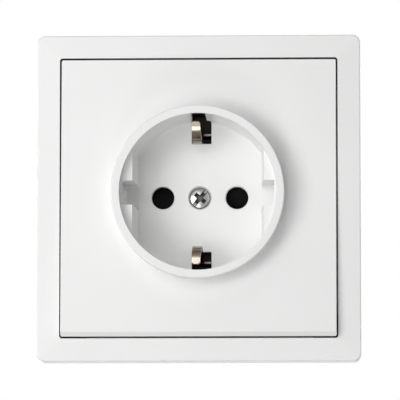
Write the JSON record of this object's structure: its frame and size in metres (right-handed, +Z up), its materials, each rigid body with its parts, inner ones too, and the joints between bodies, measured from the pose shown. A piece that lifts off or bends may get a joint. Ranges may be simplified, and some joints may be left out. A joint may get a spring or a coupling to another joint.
{
  "type": "type f wall socket",
  "caption": "Square flush-mounted type F wall socket: wedge centre plate with raised round recess, pin holes with shutter, earth spring fingers, cover frame and insert for a wall box.",
  "frame": {"origin": "the socket axis on the wall plane, midway between the box screws", "axes": "+Z up, -Y out of the wall towards the viewer, +X to the viewer's right"},
  "size_m": [0.0824, 0.0464, 0.0832],
  "materials": {
    "white_plastic": "smooth satin gloss",
    "zinc_steel": "bright zinc plated",
    "shutter_black": "matt",
    "spring_steel": "drawn wire",
    "base_grey": "matt moulded",
    "nickel_strap": "nickel plated",
    "contact_brass": "bright",
    "zinc_sheet": "zinc plated sheet"
  },
  "bodies": {
    "socket": {"cover_frame": "white_plastic", "centre_plate": "white_plastic", "centre_screw": "zinc_steel", "shutter_spring": "spring_steel", "shutter_cap": "shutter_black", "contact_cover": "base_grey", "cover_screws": "zinc_steel", "insulating_base": "base_grey", "earth_strap": "nickel_strap", "line_contact": "contact_brass", "neutral_contact": "contact_brass", "line_clamp": "zinc_steel", "earth_clamp": "zinc_steel", "neutral_clamp": "zinc_steel", "terminal_screws": "zinc_steel", "support_ring": "zinc_sheet", "support_rivets": "zinc_steel", "claw_screws": "zinc_steel"},
    "shutter": {"shutter_rotor": "shutter_black"},
    "claw_nut_left": {"claw_nut_left": "contact_brass"},
    "claw_left": {"claw_left": "zinc_sheet"},
    "claw_nut_right": {"claw_nut_right": "contact_brass"},
    "claw_right": {"claw_right": "zinc_sheet"}
  },
  "joints": [
    {"name": "shutter_turn", "type": "hinge", "parent": "socket", "child": "shutter", "pos_m": [0, 0.00425, 0], "axis": [0, -1, 0], "range_deg": [0, 42], "stiffness_Nm_per_rad": 0.0015, "springref_deg": -20.05, "deforming": ["shutter_spring"]},
    {"name": "claw_left_travel", "type": "slide", "parent": "socket", "child": "claw_nut_left", "axis": [0, -1, 0], "range_m": [0, 0.006]},
    {"name": "claw_left_swing", "type": "hinge", "parent": "claw_nut_left", "child": "claw_left", "pos_m": [-0.02431, 0.024, -0.007], "axis": [0, 0, -1], "range_deg": [0, 25]},
    {"name": "claw_right_travel", "type": "slide", "parent": "socket", "child": "claw_nut_right", "axis": [0, -1, 0], "range_m": [0, 0.006]},
    {"name": "claw_right_swing", "type": "hinge", "parent": "claw_nut_right", "child": "claw_right", "pos_m": [0.02431, 0.024, -0.007], "axis": [0, 0, 1], "range_deg": [0, 25]}
  ],
  "couplings": [
    {"joint": "claw_left_swing", "follows": "claw_left_travel", "rad_per_m": 72.702},
    {"joint": "claw_right_swing", "follows": "claw_right_travel", "rad_per_m": 72.702}
  ]
}
